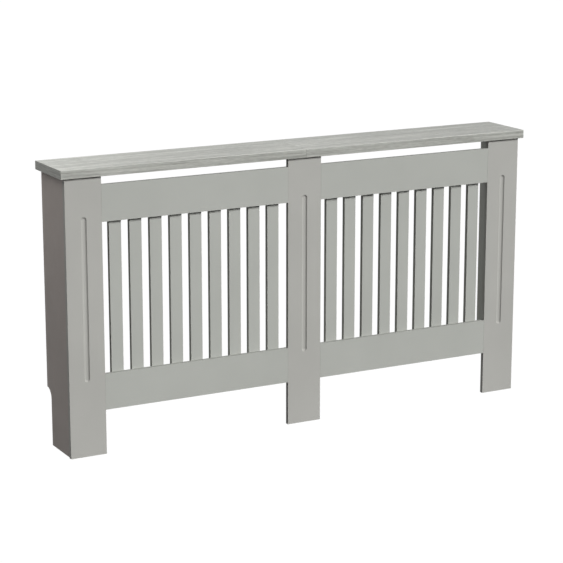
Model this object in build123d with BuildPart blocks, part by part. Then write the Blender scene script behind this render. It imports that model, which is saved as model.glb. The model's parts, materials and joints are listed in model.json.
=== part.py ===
from build123d import *
import os

# Radiator cover: a slatted front frame and two side panels under a shelf in two halves.
# Millimetres, +Z up, the front faces -Y. The origin is on the floor under the middle of the shelf.

# ---- overall ----
shelf_length = 1520.0
shelf_depth = 190.0
shelf_thick = 25.0
cover_height = 825.0
end_overhang = 13.5          # shelf past the outer posts
front_overhang = 10.0        # shelf past the front frame
wall_gap = 4.0               # side panels stop this far short of the wall

# ---- front frame ----
board_thick = 12.0           # posts and rails
post_width = 109.0
rail_height = 105.0
top_gap = 24.5               # open slot between the shelf and the top rails
foot_height = 130.0          # floor to the bottom rails
slat_count = 9               # in each bay
slat_width = 37.0
slat_thick = 12.0
slat_lap = 85.0              # how far a slat runs behind each rail

# ---- round-sided flutes in the posts ----
flute_width = 16.5
flute_depth = 3.7
flute_bit_radius = 8.0       # of the round-nosed bit that shapes the sides and ends
flute_past_top_rail = 18.5   # past the rail's inner edge
flute_past_bottom_rail = 17.0

# ---- side panels ----
side_thick = 15.0
side_inset = 2.5             # in from the outer edge of the post
notch_depth = 30.0           # room for a skirting board
notch_height = 168.0
notch_radius = 30.0

# ---- softened edges ----
shelf_round = 1.2
board_round = 0.4
joint_arris = 0.3            # where two faces meet flush

# ---- wood left uncut behind a blind hole ----
board_skin = 4.0
shelf_skin = 7.0
cam_skin = 2.5

# ---- dowels ----
dowel_length = 30.0
thick_dowel_radius = 4.0
thin_dowel_radius = 3.0
dowel_clearance = 0.1
dowel_chamfer = 0.8
rail_dowel_spread = 60.0     # between the two dowels of a rail end
post_dowel_spread = 60.0     # between the two dowels on top of the middle post
panel_dowel_rise = 250.0     # from the nearer end of the side panel
seam_dowel_pitch = 50.0
seam_dowel_count = 3

# ---- cam fittings ----
cam_radius = 7.5
cam_clearance = 0.1
cam_setback = 24.0           # cam centre to the edge that the bolt enters
cam_slot = 7.0
bolt_thread_radius = 3.0
bolt_shank_radius = 2.5
bolt_neck_radius = 1.75
bolt_neck_length = 3.5
bolt_head_radius = 3.2
bolt_head_length = 3.0
bolt_bore_radius = 4.0
panel_cam_rise = 110.0       # from the nearer end of the side panel
shelf_cam_inset = 35.0       # from the nearer edge of the side panel

# ---- screws ----
screw_radius = 1.75
screw_head_radius = 3.5
screw_clearance = 0.1
recess_width = 0.9
recess_length = 3.6
recess_depth = 1.2

# ---- steel joint plates and angle brackets ----
steel_thick = 2.0
steel_corner = 5.0
plate_on_post = 20.0         # how far a joint plate reaches over the post
plate_slat_clearance = 5.0   # from a joint plate to the first slat
plate_height = 60.0
plate_hole_z = 40.0
bracket_leg = 40.0
bracket_width = 60.0
bracket_bend = 2.5           # inside radius
bracket_hole_setback = 24.0
bracket_hole_pitch = 30.0
wall_hole_radius = 2.75
wall_bracket_drop = 100.0    # shelf underside to the middle of a side bracket

# ---- joining board under the shelf seam ----
joiner_width = 90.0
joiner_thick = 12.0
joiner_clearance = 3.0       # behind the bracket on the middle post
joiner_screw_x = 60.0
joiner_screw_pitch = 40.0
joiner_screw_rows = 3

# ---- places that follow from the sizes ----
shelf_underside = cover_height - shelf_thick
shelf_middle = cover_height - shelf_thick / 2
shelf_rear = shelf_depth / 2
face_y = front_overhang - shelf_depth / 2
board_back = face_y + board_thick
board_middle = face_y + board_thick / 2
slat_back = board_back + slat_thick
side_rear = shelf_rear - wall_gap
side_middle_y = (board_back + side_rear) / 2
body_half = shelf_length / 2 - end_overhang
bay_width = (2 * body_half - 3 * post_width) / 2
bay_center = (post_width + bay_width) / 2
outer_post_x = body_half - post_width / 2
top_rail_bottom = shelf_underside - top_gap - rail_height
bottom_rail_top = foot_height + rail_height
slat_gap = (bay_width - slat_count * slat_width) / (slat_count + 1)
slat_pitch = slat_width + slat_gap
plate_on_rail = slat_gap - plate_slat_clearance
side_inner = body_half - side_inset - side_thick
side_middle_x = side_inner + side_thick / 2
joiner_underside = shelf_underside - joiner_thick
joiner_front = board_back + bracket_leg + joiner_clearance
joiner_middle_y = (joiner_front + side_rear) / 2
board_bite = board_thick - board_skin
shelf_bite = shelf_thick - shelf_skin
cam_height = side_thick - cam_skin
screw_head_depth = screw_head_radius - screw_radius

FRONT, BACK = (0, -1, 0), (0, 1, 0)
LEFT, RIGHT = (-1, 0, 0), (1, 0, 0)
UP, DOWN = (0, 0, 1), (0, 0, -1)
sides = {"left": -1, "right": 1}
rail_floors = {"top": top_rail_bottom, "bottom": foot_height}
inward_ends = (Align.CENTER, Align.CENTER, Align.MAX)


# ---- where the fittings go ----
def facing(x, y, z, direction):
    """A place whose Z axis points along the direction."""
    return Plane((x, y, z), z_dir=direction)


def spread(middle, pitch, count=2):
    """Evenly pitched values about the middle one."""
    return [middle + (i - (count - 1) / 2) * pitch for i in range(count)]


def panel_ends(rise):
    """Heights equally far from the floor and from the shelf."""
    return [rise, shelf_underside - rise]


def outward(side):
    return RIGHT if side > 0 else LEFT


def rail_dowels(joint_x, floor, direction):
    heights = spread(floor + rail_height / 2, rail_dowel_spread)
    return [facing(joint_x, board_middle, z, direction) for z in heights]


def plate_screws(x, floor, y):
    """Two screws of a joint plate, one above the other on the plane y."""
    return [facing(x, y, z, BACK) for z in spread(floor + rail_height / 2, plate_hole_z)]


def plate_columns(joint_x, rail_side):
    """The middles of a joint plate's halves: over the post and over the rail."""
    return [joint_x - rail_side * plate_on_post / 2, joint_x + rail_side * plate_on_rail / 2]


def slat_screws(x, floor, y):
    """Two screws through the slat at x into the rail on that floor."""
    lap_start = floor if floor == top_rail_bottom else floor + rail_height - slat_lap
    return [facing(x, y, z, BACK) for z in spread(lap_start + slat_lap / 2, slat_lap / 2)]


post_cam_rows = panel_ends(panel_cam_rise) + [shelf_underside / 2]
shelf_cam_rows = [board_back + shelf_cam_inset, side_rear - shelf_cam_inset]
seam_dowel_rows = spread(side_middle_y, seam_dowel_pitch, seam_dowel_count)
joiner_screw_places = [
    (x, y)
    for x in spread(0, joiner_screw_x)
    for y in spread(joiner_middle_y, joiner_screw_pitch, joiner_screw_rows)
]
bracket_columns = spread(0, bracket_hole_pitch)
post_bracket_row = shelf_underside - bracket_hole_setback
shelf_bracket_y = board_back + bracket_hole_setback
side_bracket_column = shelf_rear - bracket_hole_setback
side_bracket_middle = shelf_underside - wall_bracket_drop
side_bracket_rows = spread(side_bracket_middle, bracket_hole_pitch)
post_dowel_columns = {
    "left": [-outer_post_x],
    "middle": spread(0, post_dowel_spread),
    "right": [outer_post_x],
}


def slat_centers(side):
    return spread(side * bay_center, slat_pitch, slat_count)


def drill(radius, depth, *places):
    """Blind holes that go in against each place's direction."""
    with Locations(*places):
        Cylinder(radius, depth, align=inward_ends, mode=Mode.SUBTRACT)


def countersink(depth, *places):
    """Screw holes through a piece, with the heads flush."""
    with Locations(*places):
        CounterSinkHole(
            screw_radius + screw_clearance,
            screw_head_radius + screw_clearance,
            depth=depth,
            counter_sink_angle=90,
        )


# ---- fasteners, each made once about the origin ----
def make_screw(length):
    """Countersunk screw: head flush with Z = 0, shank downwards, cross recess."""
    with BuildPart() as screw:
        with BuildSketch(Plane.XZ):
            with BuildLine():
                Polyline(
                    (0, 0),
                    (screw_head_radius, 0),
                    (screw_radius, -screw_head_depth),
                    (screw_radius, screw_radius - length),
                    (0, -length),
                    close=True,
                )
            make_face()
        revolve(axis=Axis.Z)
        for turn in (0, 90):
            with Locations(Rotation(0, 0, turn)):
                Box(recess_length, recess_width, recess_depth, align=inward_ends, mode=Mode.SUBTRACT)
    return screw


def make_dowel(radius):
    """Wooden dowel centred on the origin, along Z."""
    with BuildPart() as dowel:
        Cylinder(radius, dowel_length)
        chamfer(dowel.edges().filter_by(GeomType.CIRCLE), dowel_chamfer)
    return dowel


def make_cam_bolt():
    """Thread below Z = 0, then shank, neck and the head in the middle of its cam."""
    neck_end = cam_setback - bolt_head_length / 2
    shank_end = neck_end - bolt_neck_length
    head_end = neck_end + bolt_head_length
    with BuildPart() as bolt:
        with BuildSketch(Plane.XZ):
            with BuildLine():
                Polyline(
                    (0, -board_bite),
                    (bolt_thread_radius, -board_bite),
                    (bolt_thread_radius, 0),
                    (bolt_shank_radius, 0),
                    (bolt_shank_radius, shank_end),
                    (bolt_neck_radius, shank_end),
                    (bolt_neck_radius, neck_end),
                    (bolt_head_radius, neck_end),
                    (bolt_head_radius, head_end),
                    (0, head_end),
                    close=True,
                )
            make_face()
        revolve(axis=Axis.Z)
    return bolt


def make_cam():
    """Cam disc with its face on Z = 0; the slot for the bolt opens towards +X."""
    with BuildPart() as cam:
        Cylinder(cam_radius, cam_height, align=inward_ends)
        with Locations((-cam_slot / 2, 0, -side_thick / 2)):
            slot_open_end = (Align.MIN, Align.CENTER, Align.CENTER)
            Box(2 * cam_radius, cam_slot, cam_slot, align=slot_open_end, mode=Mode.SUBTRACT)
        for turn in (45, 135):
            with Locations(Rotation(0, 0, turn)):
                Box(1.5 * cam_radius, recess_width, recess_depth, align=inward_ends, mode=Mode.SUBTRACT)
    return cam


def place(piece, places):
    """Copies of one fastener as the separate solids of one group."""
    with BuildPart() as group:
        with Locations(*places):
            add(piece.part)
    return group


# ---- shelf ----
def make_shelf(side):
    """One half of the shelf, from the seam over the middle post to its outer end."""
    with BuildPart() as shelf:
        with BuildSketch(Plane.XY.offset(shelf_underside)):
            with Locations((side * shelf_length / 4, 0)):
                Rectangle(shelf_length / 2, shelf_depth)
        extrude(amount=shelf_thick)
        seam = shelf.faces().sort_by(Axis.X, reverse=side < 0)[0]
        fillet(shelf.edges() - seam.edges(), shelf_round)
        seam = shelf.faces().sort_by(Axis.X, reverse=side < 0)[0]
        chamfer(seam.edges(), joint_arris)
        drill(
            thick_dowel_radius + dowel_clearance,
            dowel_length / 2 + dowel_clearance,
            *[facing(0, y, shelf_middle, outward(-side)) for y in seam_dowel_rows],
        )
        drill(
            thick_dowel_radius + dowel_clearance,
            shelf_bite + dowel_clearance,
            facing(side * side_middle_x, side_middle_y, shelf_underside, DOWN),
        )
        drill(
            thin_dowel_radius + dowel_clearance,
            shelf_bite + dowel_clearance,
            facing(side * outer_post_x, board_middle, shelf_underside, DOWN),
            facing(side * post_dowel_spread / 2, board_middle, shelf_underside, DOWN),
        )
        drill(
            bolt_thread_radius,
            board_bite,
            *[facing(side * side_middle_x, y, shelf_underside, DOWN) for y in shelf_cam_rows],
        )
        drill(
            screw_radius,
            shelf_bite,
            *[facing(x, y, shelf_underside, DOWN) for x, y in joiner_screw_places if x * side > 0],
        )
        drill(
            screw_radius,
            board_bite,
            facing(side * bracket_hole_pitch / 2, shelf_bracket_y, shelf_underside, DOWN),
        )
    return shelf


def make_joiner():
    """Board under the seam, from behind the post's bracket to the line of the side panels' rear edges."""
    with BuildPart() as joiner:
        with BuildSketch(Plane.XY.offset(joiner_underside)):
            with Locations((0, joiner_middle_y)):
                Rectangle(joiner_width, side_rear - joiner_front)
        extrude(amount=joiner_thick)
        lower_edges = joiner.edges().group_by(Axis.Z)[0]
        fillet(lower_edges.filter_by(Axis.Y), board_round)
        countersink(
            joiner_thick,
            *[facing(x, y, joiner_underside, DOWN) for x, y in joiner_screw_places],
        )
    return joiner


# ---- side panels ----
def make_side_panel(side):
    """Full-depth panel with the quarter-round notch that clears a skirting board."""
    inner_face = side * side_inner
    with BuildPart() as panel:
        with BuildSketch(Plane.YZ.offset(inner_face)):
            with Locations((side_middle_y, shelf_underside / 2)):
                Rectangle(side_rear - board_back, shelf_underside)
        extrude(amount=side * side_thick)
        with BuildSketch(Plane.YZ.offset(inner_face)) as notch:
            with Locations((side_rear + notch_depth, 0)):
                Rectangle(4 * notch_depth, 2 * notch_height)
            fillet(notch.vertices().group_by(Axis.Z)[-1], notch_radius)
        extrude(amount=side * side_thick, mode=Mode.SUBTRACT)
        outer_face = panel.faces().sort_by(Axis.X, reverse=side > 0)[0]
        rear_edges = outer_face.edges().filter_by(lambda edge: edge.center().Y > side_middle_y)
        fillet(rear_edges.filter_by(Axis.Z), board_round)
        drill(
            cam_radius + cam_clearance,
            cam_height,
            *[facing(inner_face, board_back + cam_setback, z, outward(-side)) for z in post_cam_rows],
            *[facing(inner_face, y, shelf_underside - cam_setback, outward(-side)) for y in shelf_cam_rows],
        )
        drill(
            bolt_bore_radius,
            cam_setback,
            *[facing(side * side_middle_x, board_back, z, FRONT) for z in post_cam_rows],
            *[facing(side * side_middle_x, y, shelf_underside, UP) for y in shelf_cam_rows],
        )
        drill(
            thick_dowel_radius + dowel_clearance,
            dowel_length - board_bite + dowel_clearance,
            *[facing(side * side_middle_x, board_back, z, FRONT) for z in panel_ends(panel_dowel_rise)],
        )
        drill(
            thick_dowel_radius + dowel_clearance,
            dowel_length - shelf_bite + dowel_clearance,
            facing(side * side_middle_x, side_middle_y, shelf_underside, UP),
        )
        drill(
            screw_radius,
            board_bite,
            *[facing(inner_face, side_bracket_column, z, outward(-side)) for z in side_bracket_rows],
        )
    return panel


# ---- front frame ----
def make_flute(x):
    """Cutter for the flute in a post: its floor is flat in the middle, and the bit rounds the rest."""
    bit_at_face = (flute_bit_radius**2 - (flute_bit_radius - flute_depth) ** 2) ** 0.5
    past_edge = 2 * (flute_bit_radius - bit_at_face)
    flute_low = bottom_rail_top - flute_past_bottom_rail
    flute_high = top_rail_bottom + flute_past_top_rail
    floor_middle = (x, face_y + flute_depth, (flute_low + flute_high) / 2)
    with BuildPart() as flute:
        with BuildSketch(Plane(origin=floor_middle, x_dir=UP, z_dir=FRONT)):
            SlotOverall(flute_high - flute_low + past_edge, flute_width + past_edge)
        extrude(amount=2 * flute_bit_radius)
        fillet(flute.faces().sort_by(Axis.Y)[-1].edges(), flute_bit_radius)
    return flute


def make_post(x, rail_sides, dowel_columns):
    """Fluted post that stands on the floor, with rails joined on the given sides."""
    with BuildPart() as post:
        with BuildSketch():
            with Locations((x, board_middle)):
                Rectangle(post_width, board_thick)
        extrude(amount=shelf_underside)
        front = post.faces().sort_by(Axis.Y)[0]
        fillet(front.edges().filter_by(Axis.Z), board_round)
        add(make_flute(x).part, mode=Mode.SUBTRACT)
        drill(
            thin_dowel_radius + dowel_clearance,
            dowel_length - shelf_bite + dowel_clearance,
            *[facing(u, board_middle, shelf_underside, UP) for u in dowel_columns],
        )
        for rail_side in rail_sides:
            joint_x = x + rail_side * post_width / 2
            for floor in rail_floors.values():
                drill(
                    thin_dowel_radius + dowel_clearance,
                    dowel_length / 2 + dowel_clearance,
                    *rail_dowels(joint_x, floor, outward(rail_side)),
                )
                over_post, _ = plate_columns(joint_x, rail_side)
                drill(screw_radius, board_bite, *plate_screws(over_post, floor, board_back))
    return post


def make_outer_post(side, dowel_columns):
    """Post at one end of the frame, with the holes that take its side panel."""
    with BuildPart() as post:
        add(make_post(side * outer_post_x, [-side], dowel_columns).part)
        drill(
            bolt_thread_radius,
            board_bite,
            *[facing(side * side_middle_x, board_back, z, BACK) for z in post_cam_rows],
        )
        drill(
            thick_dowel_radius + dowel_clearance,
            board_bite,
            *[facing(side * side_middle_x, board_back, z, BACK) for z in panel_ends(panel_dowel_rise)],
        )
    return post


def make_middle_post(dowel_columns):
    """Post under the shelf seam, with the holes for the bracket behind it."""
    with BuildPart() as post:
        add(make_post(0, [-1, 1], dowel_columns).part)
        drill(
            screw_radius,
            board_bite,
            *[facing(x, board_back, post_bracket_row, BACK) for x in bracket_columns],
        )
    return post


def make_rail(side, floor):
    """Rail across one bay, butted between two posts, with the slats screwed on behind."""
    center_x = side * bay_center
    with BuildPart() as rail:
        with BuildSketch(Plane.XY.offset(floor)):
            with Locations((center_x, board_middle)):
                Rectangle(bay_width, board_thick)
        extrude(amount=rail_height)
        front = rail.faces().sort_by(Axis.Y)[0]
        chamfer(front.edges().filter_by(Axis.Z), joint_arris)
        front = rail.faces().sort_by(Axis.Y)[0]
        fillet(front.edges().filter_by(Axis.X), board_round)
        for end in (-1, 1):
            joint_x = center_x + end * bay_width / 2
            drill(
                thin_dowel_radius + dowel_clearance,
                dowel_length / 2 + dowel_clearance,
                *rail_dowels(joint_x, floor, outward(end)),
            )
            _, over_rail = plate_columns(joint_x, -end)
            drill(screw_radius, board_bite, *plate_screws(over_rail, floor, board_back))
        for x in slat_centers(side):
            drill(screw_radius, board_bite, *slat_screws(x, floor, board_back))
    return rail


def make_slat(x):
    """Upright slat behind the rails of its bay."""
    slat_bottom = bottom_rail_top - slat_lap
    slat_top = top_rail_bottom + slat_lap
    with BuildPart() as slat:
        with BuildSketch(Plane.XY.offset(slat_bottom)):
            with Locations((x, board_back + slat_thick / 2)):
                Rectangle(slat_width, slat_thick)
        extrude(amount=slat_top - slat_bottom)
        front = slat.faces().sort_by(Axis.Y)[0]
        fillet(front.edges().filter_by(Axis.Z), board_round)
        for floor in rail_floors.values():
            countersink(slat_thick, *slat_screws(x, floor, slat_back))
    return slat


# ---- steel ----
def make_joint_plate(joint_x, rail_side, floor):
    """Flat plate over the back of one rail-to-post joint."""
    center_x = joint_x + rail_side * (plate_on_rail - plate_on_post) / 2
    with BuildPart() as plate:
        with BuildSketch(Plane.XZ.offset(-board_back)):
            with Locations((center_x, floor + rail_height / 2)):
                RectangleRounded(plate_on_post + plate_on_rail, plate_height, steel_corner)
        extrude(amount=-steel_thick)
        for x in plate_columns(joint_x, rail_side):
            countersink(steel_thick, *plate_screws(x, floor, board_back + steel_thick))
    return plate


def make_bracket(corner, wall_leg):
    """Steel angle on a plane at its outer corner: one leg along +X, the other along -Z."""
    with BuildPart() as bracket:
        with BuildSketch(Plane.XZ.offset(-bracket_width / 2)):
            with BuildLine():
                Polyline(
                    (0, 0),
                    (bracket_leg, 0),
                    (bracket_leg, -steel_thick),
                    (steel_thick, -steel_thick),
                    (steel_thick, -bracket_leg),
                    (0, -bracket_leg),
                    close=True,
                )
            make_face()
        extrude(amount=bracket_width)
        bend = bracket.edges().filter_by(Axis.Y)
        fillet(bend.sort_by_distance((steel_thick, 0, -steel_thick))[0], bracket_bend)
        fillet(bracket.edges().filter_by(Axis.Y).sort_by_distance((0, 0, 0))[0], bracket_bend + steel_thick)
        tips = bracket.edges().filter_by(Axis.Z).group_by(Axis.X)[-1]
        tips += bracket.edges().filter_by(Axis.X).group_by(Axis.Z)[0]
        fillet(tips, steel_corner)
        hole_rows = spread(0, bracket_hole_pitch)
        countersink(
            steel_thick,
            *[facing(bracket_hole_setback, y, -steel_thick, DOWN) for y in hole_rows],
        )
        standing_holes = [facing(steel_thick, y, -bracket_hole_setback, RIGHT) for y in hole_rows]
        if wall_leg:
            drill(wall_hole_radius, steel_thick, *standing_holes)
        else:
            countersink(steel_thick, *standing_holes)
    return place(bracket, [corner])


side_bracket_corners = {
    name: Plane((side * side_inner, shelf_rear, side_bracket_middle), x_dir=FRONT, z_dir=outward(side))
    for name, side in sides.items()
}
post_bracket_corner = Plane((0, board_back, shelf_underside), x_dir=BACK, z_dir=UP)


# ---- the pieces ----
pieces = {
    "shelf_joining_board": make_joiner(),
    "post_middle": make_middle_post(post_dowel_columns["middle"]),
    "post_bracket": make_bracket(post_bracket_corner, wall_leg=False),
}
rail_dowel_places = []
plate_screw_places = []
for name, side in sides.items():
    pieces[f"shelf_{name}"] = make_shelf(side)
    pieces[f"side_panel_{name}"] = make_side_panel(side)
    pieces[f"post_{name}"] = make_outer_post(side, post_dowel_columns[name])
    pieces[f"wall_bracket_{name}"] = make_bracket(side_bracket_corners[name], wall_leg=True)
    slat_screw_places = []
    for level, floor in rail_floors.items():
        pieces[f"{level}_rail_{name}"] = make_rail(side, floor)
        for end, where in ((-1, "inner"), (1, "outer")):
            joint_x = side * (bay_center + end * bay_width / 2)
            rail_side = -end * side
            plate = make_joint_plate(joint_x, rail_side, floor)
            pieces[f"joint_plate_{level}_{name}_{where}"] = plate
            rail_dowel_places += rail_dowels(joint_x, floor, RIGHT)
            for x in plate_columns(joint_x, rail_side):
                plate_screw_places += plate_screws(x, floor, board_back + steel_thick)
    for number, x in enumerate(slat_centers(side), start=1):
        pieces[f"slat_{name}_{number}"] = make_slat(x)
        for floor in rail_floors.values():
            slat_screw_places += slat_screws(x, floor, slat_back)
    pieces[f"slat_screws_{name}"] = place(make_screw(slat_thick + board_bite), slat_screw_places)

# ---- groups of fasteners ----
post_dowel_z = shelf_underside + shelf_bite - dowel_length / 2
post_dowel_places = [
    (x, board_middle, post_dowel_z) for columns in post_dowel_columns.values() for x in columns
]
panel_dowel_y = board_back - board_bite + dowel_length / 2
panel_dowel_places = []
cam_bolt_places = []
cam_places = []
bracket_screw_places = [
    *[facing(x, shelf_bracket_y, shelf_underside - steel_thick, DOWN) for x in bracket_columns],
    *[facing(x, board_back + steel_thick, post_bracket_row, BACK) for x in bracket_columns],
]
for side in sides.values():
    x = side * side_middle_x
    inner_face = side * side_inner
    inward = outward(-side)
    panel_dowel_places += [facing(x, panel_dowel_y, z, BACK) for z in panel_ends(panel_dowel_rise)]
    panel_dowel_places.append(facing(x, side_middle_y, post_dowel_z, UP))
    cam_bolt_places += [facing(x, board_back, z, BACK) for z in post_cam_rows]
    cam_bolt_places += [facing(x, y, shelf_underside, DOWN) for y in shelf_cam_rows]
    post_cam_y = board_back + cam_setback
    shelf_cam_z = shelf_underside - cam_setback
    cam_places += [Plane((inner_face, post_cam_y, z), x_dir=FRONT, z_dir=inward) for z in post_cam_rows]
    cam_places += [Plane((inner_face, y, shelf_cam_z), x_dir=UP, z_dir=inward) for y in shelf_cam_rows]
    leg_x = side * (side_inner - steel_thick)
    bracket_screw_places += [facing(leg_x, side_bracket_column, z, inward) for z in side_bracket_rows]

short_screw = make_screw(steel_thick + board_bite)
pieces["joint_plate_screws"] = place(short_screw, plate_screw_places)
pieces["bracket_screws"] = place(short_screw, bracket_screw_places)
pieces["joining_board_screws"] = place(
    make_screw(joiner_thick + shelf_bite),
    [facing(x, y, joiner_underside, DOWN) for x, y in joiner_screw_places],
)
pieces["rail_dowels"] = place(make_dowel(thin_dowel_radius), rail_dowel_places)
pieces["post_top_dowels"] = place(make_dowel(thin_dowel_radius), post_dowel_places)
pieces["side_panel_dowels"] = place(make_dowel(thick_dowel_radius), panel_dowel_places)
pieces["shelf_seam_dowels"] = place(
    make_dowel(thick_dowel_radius),
    [facing(0, y, shelf_middle, RIGHT) for y in seam_dowel_rows],
)
pieces["cam_bolts"] = place(make_cam_bolt(), cam_bolt_places)
pieces["cam_locks"] = place(make_cam(), cam_places)

os.makedirs("parts", exist_ok=True)
for name, piece in pieces.items():
    piece.part.label = name
    export_step(piece.part, f"parts/{name}.step")
print(len(pieces), "nodes written")
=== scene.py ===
import json
import math

import bpy
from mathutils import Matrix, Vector

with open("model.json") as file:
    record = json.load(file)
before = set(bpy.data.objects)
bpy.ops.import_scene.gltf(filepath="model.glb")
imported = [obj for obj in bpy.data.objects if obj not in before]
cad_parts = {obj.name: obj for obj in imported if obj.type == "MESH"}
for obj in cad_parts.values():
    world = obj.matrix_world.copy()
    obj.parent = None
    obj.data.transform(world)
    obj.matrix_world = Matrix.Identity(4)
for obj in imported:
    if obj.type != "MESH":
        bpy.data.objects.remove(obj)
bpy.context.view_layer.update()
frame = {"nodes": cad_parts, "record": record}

pieces = frame["nodes"]
print("frame loaded:", len(pieces), "pieces")


def screenColour(red, green, blue, alpha=1.0):
    # 0 to 255 as seen on a screen, to the linear values that shaders take
    linear = [((c / 255 + 0.055) / 1.055) ** 2.4 for c in (red, green, blue)]
    return (*linear, alpha)


def newMaterial(name):
    material = bpy.data.materials.new(name)
    material.use_nodes = True
    tree = material.node_tree
    return material, tree, tree.nodes["Principled BSDF"]


def addNode(tree, kind, sockets=None, **settings):
    node = tree.nodes.new(kind)
    for name, value in settings.items():
        setattr(node, name, value)
    for socket, value in (sockets or {}).items():
        if isinstance(value, bpy.types.NodeSocket):
            tree.links.new(value, node.inputs[socket])
        else:
            node.inputs[socket].default_value = value
    return node


def maths(tree, operation, *values):
    return addNode(tree, "ShaderNodeMath", dict(enumerate(values)), operation=operation).outputs[0]


def rescale(tree, value, fromLow, fromHigh, toLow, toHigh):
    sockets = {0: value, 1: fromLow, 2: fromHigh, 3: toLow, 4: toHigh}
    return addNode(tree, "ShaderNodeMapRange", sockets).outputs[0]


def noise(tree, vector, scale, detail=2.0, roughness=0.5, stretch=(1.0, 1.0, 1.0)):
    # stretch multiplies the pattern's frequency along each axis
    placed = addNode(tree, "ShaderNodeMapping", {"Vector": vector, "Scale": stretch})
    sockets = {"Vector": placed.outputs[0], "Scale": scale, "Detail": detail, "Roughness": roughness}
    return addNode(tree, "ShaderNodeTexNoise", sockets).outputs["Fac"]


noiseSpread = (0.3, 0.7)         # most of a noise pattern lies between these


def stretchOut(tree, pattern, toLow=0.0, toHigh=1.0):
    return rescale(tree, pattern, *noiseSpread, toLow, toHigh)


def colourBetween(tree, factor, first, second):
    node = addNode(tree, "ShaderNodeMix", data_type="RGBA")
    for socket, value in ((node.inputs[0], factor), (node.inputs[6], first), (node.inputs[7], second)):
        if isinstance(value, bpy.types.NodeSocket):
            tree.links.new(value, socket)
        else:
            socket.default_value = value
    return node.outputs[2]


def bump(tree, height, distance, under=None):
    sockets = {"Height": height, "Strength": 1.0, "Distance": distance}
    if under is not None:
        sockets["Normal"] = under
    return addNode(tree, "ShaderNodeBump", sockets).outputs[0]


def facesAlong(tree, axis, turn=(0.6, 0.8)):
    # 1 on faces that look along the axis, 0 on the others, with the change over a range of the normal
    normal = addNode(tree, "ShaderNodeTexCoord").outputs["Normal"]
    part = addNode(tree, "ShaderNodeSeparateXYZ", {0: normal}).outputs[axis]
    return rescale(tree, maths(tree, "ABSOLUTE", part), *turn, 0.0, 1.0)


# sprayed paint on fibreboard: an even satin coat, a little rougher where a cut edge drank it, and darker on
# cut edges, partly dry paint and partly painted shade for the narrow gaps
paint = {
    "lighter": (171, 172, 167),
    "darker": (167, 168, 163),
    # the edge colour is partly drier paint and partly painted shade for sides that sit in narrow gaps
    "edge": (151, 152, 147),
    "blotches": 5.0,             # per metre, as all patterns here
    "blotchSpread": (0.35, 0.65),
    "haze": 45.0,
    "peel": 620.0,
    "peelDepth": 0.00003,
    "fibres": 1500.0,
    "fibreDepth": 0.00006,
    "leastDryAndShade": 0.35,            # least share of the darker edge colour, dry paint and painted shade, where the fibres drank least
    "roughness": (0.52, 0.60),
    "edgeRoughness": 0.20,
    "specular": 0.25,
    "edgeSpecular": 0.16,
}
# per board, how much of its cut edges shows the darker edge colour, partly dry paint and partly painted
# shade in the narrow gaps; tint multiplies the colour of its coat
boards = {
    "frontBoard": {"broadFace": 1, "thirstAndShade": 1.0, "tint": (1.008, 1.012, 1.01)},
    "endPost": {"broadFace": 1, "thirstAndShade": 0.1, "tint": (1.007, 0.998, 1.0)},
    # painted shade: the middle post's sides, beside the slats and under the shelf, take the full darker edge
    # colour
    "middlePost": {"broadFace": 1, "thirstAndShade": 1.0, "tint": (1.007, 0.998, 1.0)},
    # painted light: a warm tint for the left panel's shaded outer face
    "leftPanel": {"broadFace": 0, "thirstAndShade": 0.1, "tint": (1.035, 0.975, 0.97)},
    "rightPanel": {"broadFace": 0, "thirstAndShade": 0.1, "tint": (0.98, 0.98, 0.975)},
    "joiningBoard": {"broadFace": 2, "thirstAndShade": 1.0, "tint": (1.0, 1.0, 1.0)},
}


def sprayedPaint(name):
    board = boards[name]
    material, tree, shader = newMaterial(name)
    place = addNode(tree, "ShaderNodeTexCoord").outputs["Object"]
    onFace = facesAlong(tree, board["broadFace"])
    bareAndShaded = maths(tree, "MULTIPLY", maths(tree, "SUBTRACT", 1.0, onFace), board["thirstAndShade"])

    def tinted(colour):
        return screenColour(*(c * share for c, share in zip(paint[colour], board["tint"])))

    blotches = noise(tree, place, paint["blotches"], detail=3.0)
    tone = rescale(tree, blotches, *paint["blotchSpread"], 0.0, 1.0)
    coat = colourBetween(tree, tone, tinted("darker"), tinted("lighter"))
    fibres = noise(tree, place, paint["fibres"], detail=4.0, roughness=0.6)
    # painted shade mixed with dry paint: darker cut edges, strongest on slats, rails and the middle post
    dryAndShaded = maths(tree, "MULTIPLY", bareAndShaded, stretchOut(tree, fibres, paint["leastDryAndShade"]))
    tree.links.new(colourBetween(tree, dryAndShaded, coat, tinted("edge")), shader.inputs["Base Color"])

    dull = stretchOut(tree, noise(tree, place, paint["haze"]), *paint["roughness"])
    drier = maths(tree, "MULTIPLY", bareAndShaded, paint["edgeRoughness"])
    tree.links.new(maths(tree, "ADD", dull, drier), shader.inputs["Roughness"])
    gloss = rescale(tree, bareAndShaded, 0.0, 1.0, paint["specular"], paint["edgeSpecular"])
    tree.links.new(gloss, shader.inputs["Specular IOR Level"])

    peel = bump(tree, noise(tree, place, paint["peel"]), paint["peelDepth"])
    fuzz = bump(tree, maths(tree, "MULTIPLY", fibres, bareAndShaded), paint["fibreDepth"], under=peel)
    tree.links.new(fuzz, shader.inputs["Normal"])
    return material


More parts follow.
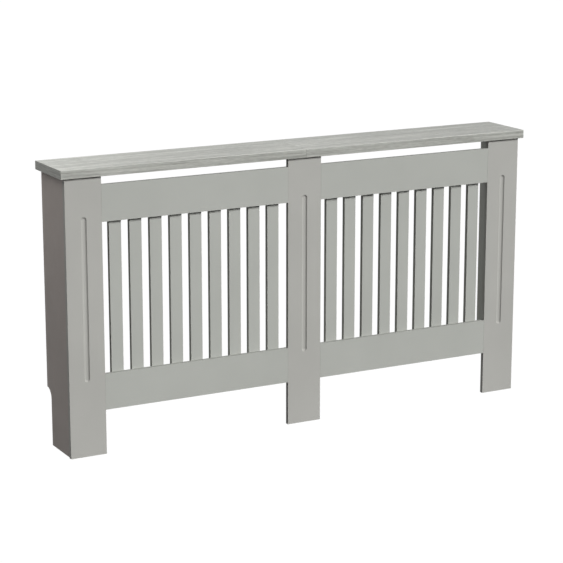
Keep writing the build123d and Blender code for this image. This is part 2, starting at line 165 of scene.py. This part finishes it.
# wood-grain film on the shelf, its grain lengthwise, and across on the two ends
film = {
    "light": (192, 193, 186),
    "middle": (166, 167, 161),
    "dark": (136, 137, 131),
    "pore": (116, 117, 112),
    "sway": 0.004,               # how far the grain wanders, in metres
    "swayScale": 1.4,
    "swayStretch": (1.0, 4.0, 4.0),
    # the figure's layers: repeats per metre along and across the grain, detail, share
    "figure": {
        "bands": {"repeats": (0.8, 30.0), "detail": 2.0, "share": 0.18},
        "streaks": {"repeats": (4.5, 210.0), "detail": 4.0, "share": 0.48},
        "hairs": {"repeats": (45.0, 600.0), "detail": 4.0, "share": 0.34},
    },
    "contrast": (1.05, 1.80),    # of the figure, on the edges and on the top
    "stops": (0.15, 0.5, 0.85),  # where the figure is dark, middling and light
    "paintedLightFade": 0.20,                # painted light: how much paler the left end of each half's top is
    "halfLength": 0.76,
    "pores": (30.0, 900.0),
    "poreSpread": (0.66, 0.74),
    "poreShade": 0.5,
    "poreDepth": 0.00005,
    "hairDepth": 0.4,            # as a share of a pore's
    "roughness": (0.40, 0.54),
    "specular": 0.5,
    "endSpecular": 0.20,
    "endTone": -0.07,
    "arrisHighlight": (198, 199, 192),    # painted highlight: paler along the rounded long edges
    "flatTurn": (0.88, 0.99),    # the normals at which the rounding passes into a flat face
    "endTurn": (0.3, 0.1),       # and at which it passes into an end
    "seam": 0.0008,              # half the width of the dark joint on the front edge, in metres
    "seamShade": (100, 101, 97),
}
# each half's left end, its cut from the long pattern, and its tone on the edges and on the top
halves = {
    "left": {"leftEnd": -0.76, "cutFrom": (0.0, 0.0, 0.0), "tone": (0.43, 0.39)},
    "right": {"leftEnd": 0.0, "cutFrom": (3.1, 0.7, 0.4), "tone": (0.43, 0.36)},
}


def woodFilm(name, half):
    material, tree, shader = newMaterial(name)
    place = addNode(tree, "ShaderNodeTexCoord").outputs["Object"]
    onEnd, onFront, onTop = (facesAlong(tree, axis) for axis in range(3))
    apart = addNode(tree, "ShaderNodeSeparateXYZ", {0: place}).outputs
    turned = addNode(tree, "ShaderNodeCombineXYZ", {0: apart[1], 1: apart[0], 2: apart[2]}).outputs[0]
    along = addNode(tree, "ShaderNodeMix", data_type="VECTOR")
    for socket, value in ((0, onEnd), (4, place), (5, turned)):
        tree.links.new(value, along.inputs[socket])
    cut = {"Vector": along.outputs[1], "Location": half["cutFrom"]}
    board = addNode(tree, "ShaderNodeMapping", cut).outputs[0]

    wander = noise(tree, board, film["swayScale"], stretch=film["swayStretch"])
    wander = maths(tree, "MULTIPLY", maths(tree, "SUBTRACT", wander, 0.5), film["sway"] * 2)
    shifted = addNode(tree, "ShaderNodeCombineXYZ", {1: wander, 2: wander}).outputs[0]
    grain = addNode(tree, "ShaderNodeVectorMath", {0: board, 1: shifted}, operation="ADD").outputs[0]

    def lengthwise(repeats, detail):
        along, across = repeats
        return noise(tree, grain, 1.0, detail, stretch=(along, across, across))

    layers = {}
    figure = -0.5                # the layers together then swing about nought
    for layer, values in film["figure"].items():
        layers[layer] = stretchOut(tree, lengthwise(values["repeats"], values["detail"]))
        figure = maths(tree, "MULTIPLY_ADD", layers[layer], values["share"], figure)
    contrast = rescale(tree, onTop, 0.0, 1.0, *film["contrast"])
    tone = rescale(tree, onTop, 0.0, 1.0, *half["tone"])
    tone = maths(tree, "MULTIPLY_ADD", onEnd, film["endTone"], tone)
    rightEnd = half["leftEnd"] + film["halfLength"]
    # painted light: the top of each half paler towards its left end
    paintedLightFade = maths(tree, "POWER", rescale(tree, apart[0], half["leftEnd"], rightEnd, 1.0, 0.0), 2.0)
    paintedLightFade = maths(tree, "MULTIPLY", paintedLightFade, film["paintedLightFade"])
    tone = maths(tree, "MULTIPLY_ADD", paintedLightFade, onTop, tone)
    figure = maths(tree, "MULTIPLY_ADD", figure, contrast, tone)
    ramp = addNode(tree, "ShaderNodeValToRGB", {0: figure})
    stops = ramp.color_ramp.elements
    stops.new(film["stops"][1])
    for stop, position, shade in zip(stops, film["stops"], ("dark", "middle", "light")):
        stop.position, stop.color = position, screenColour(*film[shade])
    pores = rescale(tree, lengthwise(film["pores"], 2.0), *film["poreSpread"], 0.0, 1.0)
    pitted = maths(tree, "MULTIPLY", pores, film["poreShade"])
    colour = colourBetween(tree, pitted, ramp.outputs[0], screenColour(*film["pore"]))
    # painted highlight on the rounded long edges, none on the flat faces and the ends
    flat = maths(tree, "ADD", *(facesAlong(tree, axis, film["flatTurn"]) for axis in (1, 2)))
    highlightedArris = maths(tree, "SUBTRACT", facesAlong(tree, 0, film["endTurn"]), flat)
    colour = colourBetween(tree, highlightedArris, colour, screenColour(*film["arrisHighlight"]))
    besideSeam = rescale(tree, maths(tree, "ABSOLUTE", apart[0]), 0.0, film["seam"], 1.0, 0.0)
    joint = maths(tree, "MULTIPLY", besideSeam, onFront)
    colour = colourBetween(tree, joint, colour, screenColour(*film["seamShade"]))
    tree.links.new(colour, shader.inputs["Base Color"])
    dull = rescale(tree, layers["streaks"], 0.0, 1.0, *film["roughness"])
    tree.links.new(dull, shader.inputs["Roughness"])
    gloss = rescale(tree, onEnd, 0.0, 1.0, film["specular"], film["endSpecular"])
    tree.links.new(gloss, shader.inputs["Specular IOR Level"])

    relief = maths(tree, "SUBTRACT", maths(tree, "MULTIPLY", layers["hairs"], film["hairDepth"]), pores)
    tree.links.new(bump(tree, relief, film["poreDepth"]), shader.inputs["Normal"])
    return material


# bright zinc plate on pressed steel, and duller cast zinc
rolled = {"finer": 9.0, "stretch": (1.0, 1.0, 0.2), "depth": 0.00001}
metals = {
    "plate": {"light": (214, 216, 219), "dark": (188, 190, 194), "roughness": (0.26, 0.42), "mottle": 90.0},
    "screw": {"light": (205, 206, 208), "dark": (168, 169, 172), "roughness": (0.24, 0.40), "mottle": 260.0},
    "cast": {"light": (172, 173, 174), "dark": (142, 143, 145), "roughness": (0.42, 0.58), "mottle": 420.0},
}


def zinc(name, kind):
    metal = metals[kind]
    material, tree, shader = newMaterial(name)
    place = addNode(tree, "ShaderNodeTexCoord").outputs["Object"]
    mottle = stretchOut(tree, noise(tree, place, metal["mottle"], detail=3.0))
    colour = colourBetween(tree, mottle, screenColour(*metal["dark"]), screenColour(*metal["light"]))
    tree.links.new(colour, shader.inputs["Base Color"])
    shader.inputs["Metallic"].default_value = 1.0
    tree.links.new(rescale(tree, mottle, 0.0, 1.0, *metal["roughness"]), shader.inputs["Roughness"])
    lines = noise(tree, place, metal["mottle"] * rolled["finer"], stretch=rolled["stretch"])
    tree.links.new(bump(tree, lines, rolled["depth"]), shader.inputs["Normal"])
    return material


beech = {
    "light": (206, 178, 140),
    "dark": (184, 150, 110),
    "fleck": (150, 112, 76),
    "streaks": 700.0,            # per metre
    "flecks": 1900.0,
    "fleckSpread": (0.62, 0.70),
    "fleckShade": 0.7,
    "roughness": 0.6,
    "grainDepth": 0.00004,
}


def bareBeech(name):
    material, tree, shader = newMaterial(name)
    place = addNode(tree, "ShaderNodeTexCoord").outputs["Object"]
    streaks = stretchOut(tree, noise(tree, place, beech["streaks"], detail=3.0))
    flecks = noise(tree, place, beech["flecks"])
    flecks = rescale(tree, flecks, *beech["fleckSpread"], 0.0, beech["fleckShade"])
    wood = colourBetween(tree, streaks, screenColour(*beech["dark"]), screenColour(*beech["light"]))
    wood = colourBetween(tree, flecks, wood, screenColour(*beech["fleck"]))
    tree.links.new(wood, shader.inputs["Base Color"])
    shader.inputs["Roughness"].default_value = beech["roughness"]
    tree.links.new(bump(tree, streaks, beech["grainDepth"]), shader.inputs["Normal"])
    return material


finishes = {
    "painted_board": sprayedPaint("frontBoard"),
    "joining_board": sprayedPaint("joiningBoard"),
    "dowel_wood": bareBeech("bareBeech"),
    "zinc_steel": zinc("zincPlate", "plate"),
    "zinc_screws": zinc("zincScrew", "screw"),
    "cam_metal": zinc("castZinc", "cast"),
}
endPostPaint = sprayedPaint("endPost")
ownFinish = {
    "post_left": endPostPaint,
    "post_middle": sprayedPaint("middlePost"),
    "post_right": endPostPaint,
    "side_panel_left": sprayedPaint("leftPanel"),
    "side_panel_right": sprayedPaint("rightPanel"),
    "shelf_left": woodFilm("shelfFilmLeft", halves["left"]),
    "shelf_right": woodFilm("shelfFilmRight", halves["right"]),
}
for row in frame["record"]["subparts"]:
    name = row["node"]
    finish = ownFinish.get(name) or finishes[row["material_slot"]]
    pieces[name].data.materials.clear()
    pieces[name].data.materials.append(finish)
print("finishes given to", len(pieces), "pieces")


# a white studio, in which only the wall behind the object gives it much light
room = {
    "floorSize": 120.0,
    "floorShade": (60, 60, 60),
    "floorGlow": 1.26,           # what the camera sees of the white floor
    "floorGlowShare": 0.80,
    "frontGlow": 0.04,
    "backGlow": 1.0,
}


def seenDirectly(tree):
    # 1 for what the camera sees, also in metal and gloss
    rays = addNode(tree, "ShaderNodeLightPath").outputs
    seen = maths(tree, "MAXIMUM", rays["Is Camera Ray"], rays["Is Glossy Ray"])
    return maths(tree, "MAXIMUM", seen, rays["Is Transmission Ray"])


bpy.ops.mesh.primitive_plane_add(size=room["floorSize"], location=(0, 0, 0))
floor = bpy.context.object
floor.name = "studioFloor"
floorMaterial = bpy.data.materials.new("studioFloor")
floorMaterial.use_nodes = True
tree = floorMaterial.node_tree
tree.nodes.clear()
plain = addNode(tree, "ShaderNodeBsdfDiffuse", {"Color": screenColour(*room["floorShade"])})
white = addNode(tree, "ShaderNodeEmission", {"Strength": room["floorGlow"]})
share = maths(tree, "MULTIPLY", seenDirectly(tree), room["floorGlowShare"])
both = addNode(tree, "ShaderNodeMixShader", {0: share, 1: plain.outputs[0], 2: white.outputs[0]})
addNode(tree, "ShaderNodeOutputMaterial", {0: both.outputs[0]})
floor.data.materials.append(floorMaterial)

world = bpy.data.worlds.new("studio")
bpy.context.scene.world = world
world.use_nodes = True
tree = world.node_tree
tree.nodes.clear()
around = addNode(tree, "ShaderNodeTexCoord").outputs["Generated"]
backwards = addNode(tree, "ShaderNodeSeparateXYZ", {0: around}).outputs[1]
glow = rescale(tree, backwards, 0.0, 1.0, room["frontGlow"], room["backGlow"])
ambient = addNode(tree, "ShaderNodeBackground", {"Color": (1, 1, 1, 1), "Strength": glow})
white = addNode(tree, "ShaderNodeBackground", {"Color": (1, 1, 1, 1), "Strength": 1.0})
seen = seenDirectly(tree)
both = addNode(tree, "ShaderNodeMixShader", {0: seen, 1: ambient.outputs[0], 2: white.outputs[0]})
addNode(tree, "ShaderNodeOutputWorld", {0: both.outputs[0]})

# a sun from the front right, and a soft box over the left end, a little behind the shelf
lights = {
    "keyLight": {
        "kind": "SUN",
        "energy": 3.78,
        "angle": 24.0,
        "towards": (0.434, -0.762, 0.495),
    },
    "softBox": {
        "kind": "AREA",
        "energy": 4.8,
        "size": 0.8,
        "place": (-1.2, 0.3, 1.65),
        "aim": (-0.6, 0.0, 0.7),
    },
}


def addLight(name, values):
    lamp = bpy.data.lights.new(name, values["kind"])
    lamp.energy = values["energy"]
    light = bpy.data.objects.new(name, lamp)
    if values["kind"] == "SUN":
        lamp.angle = math.radians(values["angle"])
        towards = Vector(values["towards"])
    else:
        lamp.size = values["size"]
        light.location = values["place"]
        towards = light.location - Vector(values["aim"])
    light.rotation_euler = towards.to_track_quat("Z", "Y").to_euler()
    bpy.context.scene.collection.objects.link(light)


for name, values in lights.items():
    addLight(name, values)
print("floor, world and lights ready")

# the camera stands where the photograph was taken from
view = {
    "aim": (-0.0762, -0.085, 0.4391),
    "turn": 28.133,              # degrees to the left of straight in front
    "rise": 13.369,
    "distance": 5.6853,
    "lens": 124.64,
    "sensor": 36.0,
    "reach": 200.0,
}
turn, rise = math.radians(view["turn"]), math.radians(view["rise"])
outwards = Vector((-math.sin(turn) * math.cos(rise), -math.cos(turn) * math.cos(rise), math.sin(rise)))
cameraData = bpy.data.cameras.new("photoCamera")
cameraData.lens = view["lens"]
cameraData.sensor_width = view["sensor"]
cameraData.clip_end = view["reach"]
camera = bpy.data.objects.new("photoCamera", cameraData)
camera.location = Vector(view["aim"]) + outwards * view["distance"]
camera.rotation_euler = outwards.to_track_quat("Z", "Y").to_euler()
bpy.context.scene.collection.objects.link(camera)
bpy.context.scene.camera = camera
bpy.context.scene.view_settings.view_transform = "Standard"
